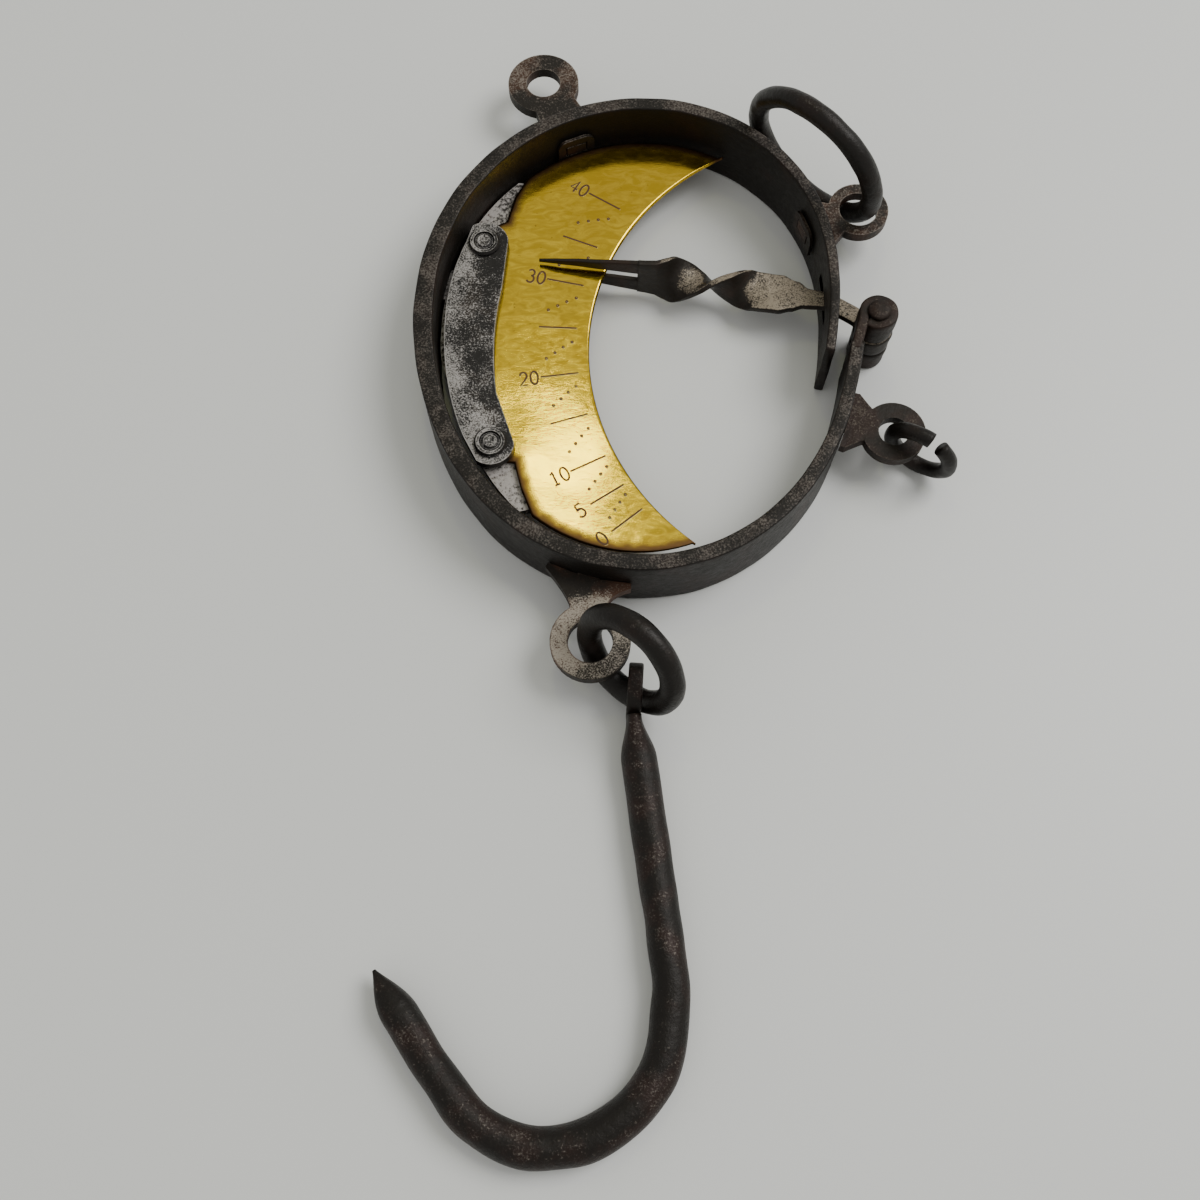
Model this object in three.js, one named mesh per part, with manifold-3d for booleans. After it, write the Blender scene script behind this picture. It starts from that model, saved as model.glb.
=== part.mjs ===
// Hanging spring scale: an open, egg-shaped steel band is the spring. A hook pulls its lower
// arm away from its upper arm, and the overlap of the two ends swings a pointer over a dial.
// The scale lies on its side, as it is stored: X to the right, Y towards the eyes it hangs
// from, Z through the band's width. All lengths are in millimetres and angles in degrees.

import * as THREE from "three";
import { mergeVertices } from "three/addons/utils/BufferGeometryUtils.js";
import Module from "manifold-3d";

const wasm = await Module();
wasm.setup();

// ---------------------------------------------------------------- driving dimensions

const GAP = 0.3; // clearance between pieces that touch
const CUT = 2; // how far a cutting tool runs past the faces it cuts

// Shapes are drawn about the middle of the band, then moved so that the whole scale is
// centred over the origin.
const BAND_CENTRE = new THREE.Vector3(-8.9, 54.8, 0);

// The spring band: its centreline is a polar curve, round with an oval and an egg part,
// and it spirals outwards so that its two ends overlap.
const BAND = {
  width: 20,
  radius: 54.3,
  spiral: 1.0, // growth for each radian
  oval: 5.9,
  ovalAngle: 86.5,
  egg: 1.0,
  eggAngle: -18.3,
  tipThickness: 2.2,
  backThickness: 4.8,
  endThickness: 3.1,
  tipAngle: -14,
  backAngle: 180,
  endAngle: 357,
  step: 3,
};
const FLEX = { angle: 205, gap: 0.8 }; // where the two arms of the spring meet

const SLOT = { angle: 10.6, length: 13.8, height: 3.0, z: 9.3 }; // in the upper arm's end

const PIN = { x: 58.6, y: -0.9, radius: 2.2, headRadius: 2.7, headHeight: 0.9 };
const KNUCKLE = { radius: 5.4, bore: 2.6, gapBottom: 6.4, gapTop: 12.6, gapDepth: 7.2 };

const LUG = { thickness: 2.8, z: 10.2, tenonWidth: 5 };
const LUGS = {
  top_left_lug: { eye: [-24.3, 74.6], footAngle: 106, outer: 9.4, hole: 4.5, neck: 5.6, foot: 7 },
  top_right_lug: { eye: [57.3, 34.3], footAngle: 33, outer: 7.7, hole: 4.9, neck: 4.6, foot: 6.8 },
  lower_right_lug: { eye: [61.8, -29.0], footAngle: 333, outer: 7.7, hole: 3.7, neck: 4.4, foot: 7.2 },
  bottom_left_lug: { eye: [-11.4, -81.8], footAngle: 260, outer: 9.3, hole: 5.2, neck: 4.4, foot: 9.6 },
};
const ROVE = { width: 10, height: 7.4, thickness: 0.8, corner: 2.6 };
const ROVES = { top_left_rove: "top_left_lug", top_right_rove: "top_right_lug" };

const DIAL = {
  bottom: 7.7,
  thickness: 1.0,
  innerCentre: [53.4, -5.1],
  innerRadius: 65.4,
  topGap: 1.7, // to the band, past the upper arm
  bottomGaps: [4.2, 5.3], // to the band, past the lower arm, which moves
  topAngles: [64, 122],
  bottomAngles: [241.5, 285],
  left: [
    [-31.4, 40.5], [-33.4, 33], [-42, 29], [-44.5, 10], [-44.8, -8], [-42, -26], [-38, -34.5], [-30, -35.5],
    [-28.2, -42.5],
  ],
};
const BRACKET = { bottom: 5.0, thickness: 2.4, angles: [124, 238], gap: 0.5, lowerGap: 3.1, reach: 18.5 };
const BRACKET_TENON = { angle: 163, width: 9 };
const CLAMP = {
  bottom: 9.0,
  thickness: 2.2,
  angles: [150, 214],
  gap: 1.8,
  upperEnd: 6.2,
  lowerEnd: 5.7,
  waist: 1.8,
};
const RIVET = { radius: 1.6, headRadius: 2.3, headHeight: 1.1, bore: 1.9 };
const COLLAR = { outer: 4.0, inner: 2.7, height: 0.9 };
const RIVETS = { upper: [-38.7, 24.8], lower: [-35.6, -31.6] };

// The pointer's stations run from its eye on the pin to its tip.
const POINTER = {
  stations: [
    { at: [58.6, -0.9, 9.5], width: 4.8, thickness: 1.8 },
    { at: [54.8, 3.9, 9.5], width: 4.6, thickness: 1.8 },
    { at: [48.4, 8.1, 9.3], width: 4.6, thickness: 1.8 },
    { at: [41.8, 9.8, 8.9], width: 6.2, thickness: 1.8 },
    { at: [39.2, 10.4, 8.7], width: 9.8, thickness: 1.8 },
    { at: [29.5, 12.3, 8.3], width: 10.2, thickness: 1.8 },
    { at: [19.1, 14.3, 8.2], width: 9.4, thickness: 1.8 },
    { at: [8.0, 15.9, 8.2], width: 12.4, thickness: 1.7 },
    { at: [-8.0, 18.1, 8.2], width: 12.2, thickness: 1.6 },
    { at: [-24.2, 20.3, 8.2], width: 5.0, thickness: 1.2 },
  ],
  // The twist, as [X, turn]: flat near the pin, then three quarters of a turn, then on edge.
  turns: [
    [34, 0], [30, 8], [27, 42], [24, 78], [20.5, 108], [19, 124], [17.5, 145], [14, 178], [10.5, 216],
    [8, 246], [5, 266], [1, 270],
  ],
  steps: 72,
  slitEnd: 0.5,
  slitHeight: 2.8,
  eyeRadius: 5.0,
  eyeBottom: 6.9,
  eyeTop: 12.1,
};

// Each ring hangs in an eye and stands on its edge. It leans over, and its middle is
// higher than the eye.
const RINGS = {
  suspension_ring: { lug: "top_right_lug", direction: 137, lean: 9, radius: 18.6, bar: 2.45, middle: 21.0 },
  load_ring: { lug: "bottom_left_lug", direction: -42, lean: 18, radius: 12, bar: 2.7, middle: 15.6 },
};
const LINK = {
  lug: "lower_right_lug",
  direction: -34,
  lean: -4,
  radius: 7.7,
  bar: 1.9,
  middle: 9.8,
  open: [58, 80],
};

const HOOK = {
  eye: { x: -1.2, y: -92.4, z: 6.7, outer: 6.6, hole: 5.4, thickness: 2.8, turn: -4 },
  shankZ: 4.4,
  route: [
    [-1.2, -101.5], [-0.3, -108], [2.0, -125], [4.9, -147], [6.0, -160], [2.6, -175.5], [-8.5, -186.2],
    [-22.4, -189.2], [-34.6, -184.8], [-43.5, -174.9], [-50.8, -164.4], [-58.3, -153.4],
  ],
  bladeHalfHeight: 5.2,
  shankRadius: 4.15,
  bendRadius: 4.4,
  tipLength: 11,
  steps: 90,
  sides: 16,
};

// ---------------------------------------------------------------- small tools

const radians = THREE.MathUtils.degToRad;
const lerp = THREE.MathUtils.lerp;
const smoothstep = THREE.MathUtils.smoothstep;

function range(start, end, count) {
  return Array.from({ length: count + 1 }, (_, i) => lerp(start, end, i / count));
}

// A closed mesh as a solid that can be joined and cut.
function solidOf(geometry) {
  const bare = geometry.clone();
  bare.deleteAttribute("normal");
  bare.deleteAttribute("uv");
  const merged = mergeVertices(bare, 1e-4);
  const vertProperties = new Float32Array(merged.attributes.position.array);
  const triVerts = new Uint32Array(merged.index.array);
  return new wasm.Manifold(new wasm.Mesh({ numProp: 3, vertProperties, triVerts }));
}

function geometryOf(solid) {
  const mesh = solid.getMesh();
  const geometry = new THREE.BufferGeometry();
  geometry.setAttribute("position", new THREE.BufferAttribute(new Float32Array(mesh.vertProperties), 3));
  geometry.setIndex(new THREE.BufferAttribute(new Uint32Array(mesh.triVerts), 1));
  return geometry;
}

function cut(geometry, ...tools) {
  return geometryOf(tools.reduce((solid, tool) => solid.subtract(solidOf(tool)), solidOf(geometry)));
}

function join(geometry, ...others) {
  return geometryOf(others.reduce((solid, other) => solid.add(solidOf(other)), solidOf(geometry)));
}

function boxBetween(low, high) {
  const box = new THREE.BoxGeometry(high[0] - low[0], high[1] - low[1], high[2] - low[2]);
  return box.translate((low[0] + high[0]) / 2, (low[1] + high[1]) / 2, (low[2] + high[2]) / 2);
}

// A flat plate: a drawn outline with its holes, raised from one height to another.
function plate(points, holes, bottom, thickness) {
  const corners = points.filter((point, i) => point.distanceTo(points[(i + 1) % points.length]) > 0.01);
  if (THREE.ShapeUtils.isClockWise(corners)) {
    corners.reverse();
  }
  const shape = new THREE.Shape(corners);
  shape.holes = holes.map((hole) => new THREE.Path(hole));
  const geometry = new THREE.ExtrudeGeometry(shape, { depth: thickness, bevelEnabled: false });
  return geometry.translate(0, 0, bottom);
}

function disc(x, y, radius, bottom, height, segments = 32) {
  const cylinder = new THREE.CylinderGeometry(radius, radius, height, segments);
  return cylinder.rotateX(Math.PI / 2).translate(x, y, bottom + height / 2);
}

function polar(angle, radius) {
  return new THREE.Vector2(radius * Math.cos(radians(angle)), radius * Math.sin(radians(angle)));
}

function arc([x, y], radius, from, to, count) {
  return range(from, to, count).map((angle) => polar(angle, radius).add(new THREE.Vector2(x, y)));
}

function circle(centre, radius, count = 32) {
  return arc(centre, radius, 360, 0, count).slice(1);
}

// A solid skin over a row of sections that all have the same number of corners.
function loft(sections) {
  const corners = sections[0].length;
  const positions = sections.flat().flatMap((point) => point.toArray());
  const faces = [];
  for (let i = 0; i < sections.length - 1; i++) {
    for (let j = 0; j < corners; j++) {
      const a = i * corners + j;
      const b = i * corners + ((j + 1) % corners);
      faces.push(a, b, b + corners, a, b + corners, a + corners);
    }
  }
  const last = (sections.length - 1) * corners;
  for (let j = 1; j < corners - 1; j++) {
    faces.push(0, j + 1, j);
    faces.push(last, last + j, last + j + 1);
  }
  const geometry = new THREE.BufferGeometry();
  geometry.setAttribute("position", new THREE.Float32BufferAttribute(positions, 3));
  geometry.setIndex(faces);
  return geometry;
}

// ---------------------------------------------------------------- the spring band

function bandRadius(angle) {
  const round = BAND.radius + BAND.spiral * radians(angle);
  const oval = BAND.oval * Math.cos(2 * radians(angle - BAND.ovalAngle));
  const egg = BAND.egg * Math.cos(3 * radians(angle - BAND.eggAngle));
  return round + oval - egg;
}

function bandThickness(angle) {
  if (angle < BAND.backAngle) {
    const part = (angle - BAND.tipAngle) / (BAND.backAngle - BAND.tipAngle);
    return lerp(BAND.tipThickness, BAND.backThickness, part);
  }
  const part = (angle - BAND.backAngle) / (BAND.endAngle - BAND.backAngle);
  return lerp(BAND.backThickness, BAND.endThickness, part);
}

function centrePoint(angle) {
  const radius = bandRadius(angle);
  return new THREE.Vector2(radius * Math.cos(radians(angle)), radius * Math.sin(radians(angle)));
}

function outwardNormal(angle) {
  const along = centrePoint(angle + 0.5).sub(centrePoint(angle - 0.5)).normalize();
  return new THREE.Vector2(along.y, -along.x);
}

// A point beyond the band's outer face, or inside its inner face, by a clearance.
function outside(angle, clearance = 0) {
  return centrePoint(angle).addScaledVector(outwardNormal(angle), bandThickness(angle) / 2 + clearance);
}

function inside(angle, clearance = 0) {
  return centrePoint(angle).addScaledVector(outwardNormal(angle), -bandThickness(angle) / 2 - clearance);
}

function bandStrip(from, to) {
  const angles = range(from, to, Math.round((to - from) / BAND.step));
  const outer = angles.map((angle) => outside(angle));
  const inner = angles.map((angle) => inside(angle)).reverse();
  return plate([...outer, ...inner], [], 0, BAND.width);
}

// A bar that crosses the band square to its face.
function acrossBand(angle, width, height, z) {
  const bar = new THREE.BoxGeometry(4 * BAND.backThickness, width, height);
  const normal = outwardNormal(angle);
  const middle = centrePoint(angle);
  return bar.rotateZ(Math.atan2(normal.y, normal.x)).translate(middle.x, middle.y, z);
}

function tenonHole(name) {
  const lug = LUGS[name];
  return acrossBand(lug.footAngle, LUG.tenonWidth + 3 * GAP, LUG.thickness + 2 * GAP, LUG.z);
}

function upperArm() {
  const strip = bandStrip(BAND.tipAngle, FLEX.angle - flexHalfAngle());
  const slot = acrossBand(SLOT.angle, SLOT.length, SLOT.height, SLOT.z);
  const bracketHole = acrossBand(
    BRACKET_TENON.angle,
    BRACKET_TENON.width + 2 * GAP,
    BRACKET.thickness + 2 * GAP,
    BRACKET.bottom + BRACKET.thickness / 2,
  );
  return cut(strip, slot, bracketHole, tenonHole("top_left_lug"), tenonHole("top_right_lug"));
}

function flexHalfAngle() {
  return THREE.MathUtils.radToDeg(FLEX.gap / 2 / bandRadius(FLEX.angle));
}

// The lower arm's end is forked, and rolled round the pin as two knuckles.
function lowerArm() {
  const strip = bandStrip(FLEX.angle + flexHalfAngle(), BAND.endAngle);
  const knuckle = disc(PIN.x, PIN.y, KNUCKLE.radius, 0, BAND.width, 40);
  const bore = disc(PIN.x, PIN.y, KNUCKLE.bore, -CUT, BAND.width + 2 * CUT, 32);
  const forkGap = boxBetween(
    [PIN.x - 12, PIN.y - KNUCKLE.gapDepth, KNUCKLE.gapBottom],
    [PIN.x + 12, PIN.y + 12, KNUCKLE.gapTop],
  );
  return cut(join(strip, knuckle), bore, forkGap, tenonHole("lower_right_lug"), tenonHole("bottom_left_lug"));
}

function pivotPin() {
  const bottom = GAP;
  const shoulder = BAND.width + GAP;
  const top = shoulder + PIN.headHeight;
  const profile = [
    [0, bottom],
    [PIN.radius, bottom],
    [PIN.radius, shoulder],
    [PIN.headRadius, shoulder],
    [PIN.headRadius, top - 0.4],
    [PIN.headRadius - 0.8, top],
    [0, top],
  ];
  return lathe(profile, 28).translate(PIN.x, PIN.y, 0);
}

function lathe(profile, segments) {
  const points = profile.map(([radius, height]) => new THREE.Vector2(radius, height));
  return new THREE.LatheGeometry(points, segments).rotateX(Math.PI / 2);
}

// ---------------------------------------------------------------- lugs and their roves

// A lug is one flat plate: an eye, a neck, a foot that spreads along the band, and a tenon
// that goes through the band. Two tenons stand proud inside, where they are peened over a rove.
function lugPlate(name) {
  const lug = LUGS[name];
  const eye = new THREE.Vector2(...lug.eye);
  const footMiddle = outside(lug.footAngle, GAP);
  const axis = eye.clone().sub(footMiddle).normalize();
  const side = new THREE.Vector2(-axis.y, axis.x);
  const back = THREE.MathUtils.radToDeg(Math.atan2(-axis.y, -axis.x));
  const neckAngle = THREE.MathUtils.radToDeg(Math.asin(lug.neck / lug.outer));
  const along = (distance) => lug.footAngle + THREE.MathUtils.radToDeg(distance / bandRadius(lug.footAngle));
  const peened = Object.values(ROVES).includes(name);
  const tenonLength = bandThickness(lug.footAngle) + (peened ? 3 * GAP + ROVE.thickness : 0);
  const inward = outwardNormal(lug.footAngle).multiplyScalar(-tenonLength);

  const tenonRoot = [-1, 1].map((part) => outside(along((part * LUG.tenonWidth) / 2), GAP));
  const tenonTip = tenonRoot.map((point) => point.clone().add(inward));
  const foot = (part) => outside(along(part * lug.foot), GAP);
  const flank = (part) => {
    const corner = outside(along(part * lug.foot), 1.6);
    const neck = footMiddle.clone().addScaledVector(side, part * lug.neck).addScaledVector(axis, 4.6);
    const shoulder = polar(back - part * neckAngle, lug.outer).add(eye);
    return new THREE.QuadraticBezierCurve(corner, neck, shoulder).getPoints(8);
  };
  const outline = [
    foot(-1),
    ...[tenonRoot[0], tenonTip[0], tenonTip[1], tenonRoot[1]],
    foot(1),
    ...flank(1),
    ...arc(lug.eye, lug.outer, back - neckAngle, back - 360 + neckAngle, 32),
    ...flank(-1).reverse(),
  ];
  return plate(outline, [circle(lug.eye, lug.hole)], LUG.z - LUG.thickness / 2, LUG.thickness);
}

// A rove is a small D-shaped plate round the tenon's end, flat against the band inside.
function rove(lugName) {
  const lug = LUGS[lugName];
  const halfWidth = ROVE.width / 2;
  const halfHeight = ROVE.height / 2;
  const outline = [
    new THREE.Vector2(-halfWidth, -halfHeight),
    new THREE.Vector2(halfWidth, -halfHeight),
    ...arc([halfWidth - ROVE.corner, halfHeight - ROVE.corner], ROVE.corner, 0, 90, 6),
    ...arc([ROVE.corner - halfWidth, halfHeight - ROVE.corner], ROVE.corner, 90, 180, 6),
  ];
  const holeWidth = LUG.tenonWidth / 2 + 1.5 * GAP;
  const holeHeight = LUG.thickness / 2 + GAP;
  const corners = [[-1, -1], [-1, 1], [1, 1], [1, -1]];
  const hole = corners.map(([x, y]) => new THREE.Vector2(x * holeWidth, y * holeHeight));
  const geometry = plate(outline, [hole], -ROVE.thickness / 2, ROVE.thickness);
  const middle = inside(lug.footAngle, 2 * GAP + ROVE.thickness / 2);
  const normal = outwardNormal(lug.footAngle);
  geometry.rotateX(Math.PI / 2).rotateZ(Math.atan2(normal.y, normal.x) + Math.PI / 2);
  return geometry.translate(middle.x, middle.y, LUG.z);
}

// ---------------------------------------------------------------- dial, bracket and clamp

function rivetHoles() {
  return Object.values(RIVETS).map((centre) => circle(centre, RIVET.bore, 20));
}

// The angle on the dial's inner circle at a height above its centre.
function innerCircleAngle(y, radius) {
  return 180 - THREE.MathUtils.radToDeg(Math.asin((y - DIAL.innerCentre[1]) / radius));
}

// The dial is a brass crescent. Its left side runs under the clamp.
function dialPlate() {
  const [topFrom, topTo] = DIAL.topAngles;
  const [bottomFrom, bottomTo] = DIAL.bottomAngles;
  const top = range(topFrom, topTo, 20).map((angle) => inside(angle, DIAL.topGap));
  const [nearGap, farGap] = DIAL.bottomGaps;
  const bottom = range(0, 1, 14).map((part) => {
    return inside(lerp(bottomFrom, bottomTo, part), lerp(nearGap, farGap, part));
  });
  const { left } = DIAL;
  const innerFrom = innerCircleAngle(bottom[bottom.length - 1].y + 0.6, DIAL.innerRadius);
  const innerTo = innerCircleAngle(top[0].y - 0.6, DIAL.innerRadius);
  const inner = arc(DIAL.innerCentre, DIAL.innerRadius, innerFrom, innerTo, 40);
  const outline = [...top, ...left.map(([x, y]) => new THREE.Vector2(x, y)), ...bottom, ...inner];
  return plate(outline, rivetHoles(), DIAL.bottom, DIAL.thickness);
}

// The bracket is an iron crescent under the dial. Its tenon goes through the band's back.
function dialBracket() {
  const [from, to] = BRACKET.angles;
  const tenonHalf = THREE.MathUtils.radToDeg(BRACKET_TENON.width / 2 / bandRadius(BRACKET_TENON.angle));
  const clearance = (angle) => lerp(BRACKET.gap, BRACKET.lowerGap, smoothstep(angle, 185, FLEX.angle));
  const edge = (start, end, count) =>
    range(start, end, count).map((angle) => inside(angle, clearance(angle)));
  const tenonStart = BRACKET_TENON.angle - tenonHalf;
  const tenonStop = BRACKET_TENON.angle + tenonHalf;
  const reachOut = bandThickness(BRACKET_TENON.angle) + BRACKET.gap;
  const out = outwardNormal(BRACKET_TENON.angle).multiplyScalar(reachOut);
  const tenon = [tenonStart, tenonStop].map((angle) => inside(angle, BRACKET.gap).add(out));
  const innerRadius = DIAL.innerRadius + BRACKET.reach;
  const upperEnd = inside(from, BRACKET.gap).y - 2;
  const lowerEnd = inside(to, BRACKET.lowerGap).y + 2;
  const inner = arc(
    DIAL.innerCentre,
    innerRadius,
    innerCircleAngle(lowerEnd, innerRadius),
    innerCircleAngle(upperEnd, innerRadius),
    20,
  );
  const outline = [...edge(from, tenonStart, 12), ...tenon, ...edge(tenonStop, to, 20), ...inner];
  return plate(outline, rivetHoles(), BRACKET.bottom, BRACKET.thickness);
}

// The clamp is a curved iron strip over the dial's left side, with a round end at each rivet.
function dialClamp() {
  const [from, to] = CLAMP.angles;
  const left = range(from, to, 20).map((angle) => inside(angle, CLAMP.gap));
  const lower = arc(RIVETS.lower, CLAMP.lowerEnd, 235, 360, 10);
  const upper = arc(RIVETS.upper, CLAMP.upperEnd, 10, 120, 10);
  const waistRadius = DIAL.innerRadius + 25.3;
  const waist = arc(
    DIAL.innerCentre,
    waistRadius - CLAMP.waist,
    innerCircleAngle(-18, waistRadius),
    innerCircleAngle(12, waistRadius),
    10,
  );
  return plate([...left, ...lower, ...waist, ...upper], rivetHoles(), CLAMP.bottom, CLAMP.thickness);
}

// A dial rivet: a button head above the clamp, and a tail spread under the bracket.
function dialRivet([x, y]) {
  const tailBottom = BRACKET.bottom - GAP - RIVET.headHeight;
  const tailTop = BRACKET.bottom - GAP;
  const headBottom = CLAMP.bottom + CLAMP.thickness + GAP;
  const headTop = headBottom + RIVET.headHeight;
  const profile = [
    [0, tailBottom],
    [RIVET.headRadius - 0.4, tailBottom],
    [RIVET.headRadius, tailTop],
    [RIVET.radius, tailTop],
    [RIVET.radius, headBottom],
    [RIVET.headRadius, headBottom],
    [RIVET.headRadius, headTop - 0.5],
    [RIVET.headRadius - 0.7, headTop],
    [0, headTop],
  ];
  return lathe(profile, 24).translate(x, y, 0);
}

// A raised collar stands round each rivet head on the clamp.
function rivetCollar([x, y]) {
  const bottom = CLAMP.bottom + CLAMP.thickness + GAP;
  const profile = [
    [COLLAR.inner, bottom],
    [COLLAR.outer, bottom],
    [COLLAR.outer, bottom + 0.3],
    [COLLAR.outer - 0.5, bottom + COLLAR.height],
    [COLLAR.inner, bottom + COLLAR.height],
    [COLLAR.inner, bottom],
  ];
  return lathe(profile, 28).translate(x, y, 0);
}

// ---------------------------------------------------------------- pointer

// Width and thickness between two stations change evenly, by the distance along X.
function pointerSize(x, key) {
  const stations = POINTER.stations;
  const after = Math.max(1, stations.findIndex((station) => station.at[0] <= x));
  const near = stations[after - 1];
  const far = stations[after];
  const part = THREE.MathUtils.clamp((near.at[0] - x) / (near.at[0] - far.at[0]), 0, 1);
  return lerp(near[key], far[key], part);
}

// The strip lies flat at the pin, makes three quarters of a turn, and ends on edge.
function pointerTwist(x) {
  const turns = POINTER.turns;
  const after = turns.findIndex(([at]) => at <= x);
  if (after === 0) {
    return 0;
  }
  if (after < 0) {
    return radians(-turns[turns.length - 1][1]);
  }
  const [nearX, nearTurn] = turns[after - 1];
  const [farX, farTurn] = turns[after];
  return radians(-lerp(nearTurn, farTurn, (nearX - x) / (nearX - farX)));
}

function pointer() {
  const stops = POINTER.stations.map((station) => new THREE.Vector3(...station.at));
  const route = new THREE.CatmullRomCurve3(stops);
  const up = new THREE.Vector3(0, 0, 1);
  const sections = range(0, 1, POINTER.steps).map((part) => {
    const middle = route.getPointAt(part);
    const along = route.getTangentAt(part);
    const flat = new THREE.Vector3().crossVectors(up, along).normalize();
    const upright = new THREE.Vector3().crossVectors(along, flat);
    const twist = pointerTwist(middle.x);
    const wide = flat.clone().multiplyScalar(Math.cos(twist)).addScaledVector(upright, Math.sin(twist));
    const thick = upright.clone().multiplyScalar(Math.cos(twist)).addScaledVector(flat, -Math.sin(twist));
    const halfWidth = pointerSize(middle.x, "width") / 2;
    const halfThickness = pointerSize(middle.x, "thickness") / 2;
    return [[1, 1], [-1, 1], [-1, -1], [1, -1]].map(([a, b]) => {
      return middle.clone().addScaledVector(wide, a * halfWidth).addScaledVector(thick, b * halfThickness);
    });
  });
  const tip = POINTER.stations[POINTER.stations.length - 1].at;
  const slit = boxBetween(
    [tip[0] - CUT, tip[1] - 12, tip[2] - POINTER.slitHeight / 2],
    [POINTER.slitEnd, tip[1] + 6, tip[2] + POINTER.slitHeight / 2],
  );
  const eyeHeight = POINTER.eyeTop - POINTER.eyeBottom;
  const eye = disc(PIN.x, PIN.y, POINTER.eyeRadius, POINTER.eyeBottom, eyeHeight, 36);
  const bore = disc(PIN.x, PIN.y, KNUCKLE.bore, POINTER.eyeBottom - CUT, eyeHeight + 2 * CUT, 32);
  return cut(join(loft(sections), eye), slit, bore);
}

// ---------------------------------------------------------------- rings, link and hook

// The frame of a ring that passes through the middle of its lug's eye: u runs level, away
// from the eye, v runs up the leaning ring, and centre is the ring's middle.
function ringFrame(ring) {
  const [x, y] = LUGS[ring.lug].eye;
  const u = new THREE.Vector3(Math.cos(radians(ring.direction)), Math.sin(radians(ring.direction)), 0);
  const over = new THREE.Vector3(-u.y, u.x, 0);
  const v = over.multiplyScalar(Math.sin(radians(ring.lean)));
  v.z = Math.cos(radians(ring.lean));
  const climb = (ring.middle - LUG.z) / v.z;
  const away = Math.sqrt(ring.radius ** 2 - climb ** 2);
  const centre = new THREE.Vector3(x, y, LUG.z).addScaledVector(u, away).addScaledVector(v, climb);
  return { u, v, centre, normal: new THREE.Vector3().crossVectors(u, v) };
}

function closedRing(ring) {
  const { u, v, centre, normal } = ringFrame(ring);
  const torus = new THREE.TorusGeometry(ring.radius, ring.bar, 14, 60);
  return torus.applyMatrix4(new THREE.Matrix4().makeBasis(u, v, normal).setPosition(centre));
}

// The link is a ring whose bar has been left open at the top.
function openLink() {
  const { u, v, centre, normal } = ringFrame(LINK);
  const [gapFrom, gapTo] = LINK.open.map(radians);
  const sections = range(gapTo, gapFrom + 2 * Math.PI, 36).map((angle) => {
    const out = u.clone().multiplyScalar(Math.cos(angle)).addScaledVector(v, Math.sin(angle));
    const middle = centre.clone().addScaledVector(out, LINK.radius);
    return range(2 * Math.PI, 0, 12).slice(0, -1).map((turn) => {
      const rim = middle.clone().addScaledVector(out, LINK.bar * Math.cos(turn));
      return rim.addScaledVector(normal, LINK.bar * Math.sin(turn));
    });
  });
  return loft(sections);
}

// The hook's round bar is beaten flat at the top for an eye, and drawn to a point below.
function hook() {
  const { eye } = HOOK;
  const start = new THREE.Vector3(eye.x, eye.y, eye.z);
  const points = HOOK.route.map(([x, y], i) => new THREE.Vector3(x, y, i === 0 ? eye.z - 0.8 : HOOK.shankZ));
  const route = new THREE.CatmullRomCurve3([start, ...points], false, "centripetal");
  const length = route.getLength();
  const up = new THREE.Vector3(0, 0, 1);
  const sections = range(0, 1, HOOK.steps).map((part) => {
    const middle = route.getPointAt(part);
    const along = route.getTangentAt(part);
    const level = new THREE.Vector3().crossVectors(up, along).normalize();
    const upright = new THREE.Vector3().crossVectors(along, level);
    const [halfWidth, halfHeight] = hookSection(part * length, length);
    return range(0, 2 * Math.PI, HOOK.sides).slice(0, -1).map((turn) => {
      const rim = middle.clone().addScaledVector(level, halfWidth * Math.cos(turn));
      return rim.addScaledVector(upright, halfHeight * Math.sin(turn));
    });
  });
  const wheel = new THREE.CylinderGeometry(eye.outer, eye.outer, eye.thickness, 36);
  const bore = new THREE.CylinderGeometry(eye.hole, eye.hole, eye.thickness + 2 * CUT, 32);
  for (const round of [wheel, bore]) {
    round.rotateZ(Math.PI / 2 + radians(eye.turn)).translate(eye.x, eye.y, eye.z);
  }
  return cut(join(loft(sections), wheel), bore);
}

// Half the bar's width and height at a distance from the eye.
function hookSection(distance, length) {
  const flat = 1 - smoothstep(distance, 7, 16);
  const bend = smoothstep(distance, 62, 90) * (1 - smoothstep(distance, length - 50, length - 25));
  const round = lerp(HOOK.shankRadius, HOOK.bendRadius, bend);
  const point = THREE.MathUtils.clamp((length - distance) / HOOK.tipLength, 0, 1);
  const taper = lerp(0.12, 1, point ** 0.8);
  const halfWidth = lerp(round, HOOK.eye.thickness / 2, flat) * taper;
  const halfHeight = lerp(round, HOOK.bladeHalfHeight, flat) * taper;
  return [halfWidth, halfHeight];
}

// ---------------------------------------------------------------- materials and assembly

const DARK_IRON = { color: 0x2b2724, roughness: 0.62, metalness: 0.85 };
const WORN_IRON = { color: 0x6f6a63, roughness: 0.66, metalness: 0.8 };
const RUSTY_IRON = { color: 0x4a3629, roughness: 0.8, metalness: 0.6 };
const BRASS = { color: 0xc79a2e, roughness: 0.34, metalness: 0.95 };

const scale = new THREE.Group();
scale.position.copy(BAND_CENTRE);

function add(name, geometry, look) {
  const mesh = new THREE.Mesh(geometry, new THREE.MeshStandardMaterial(look));
  mesh.name = name;
  scale.add(mesh);
}

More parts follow.
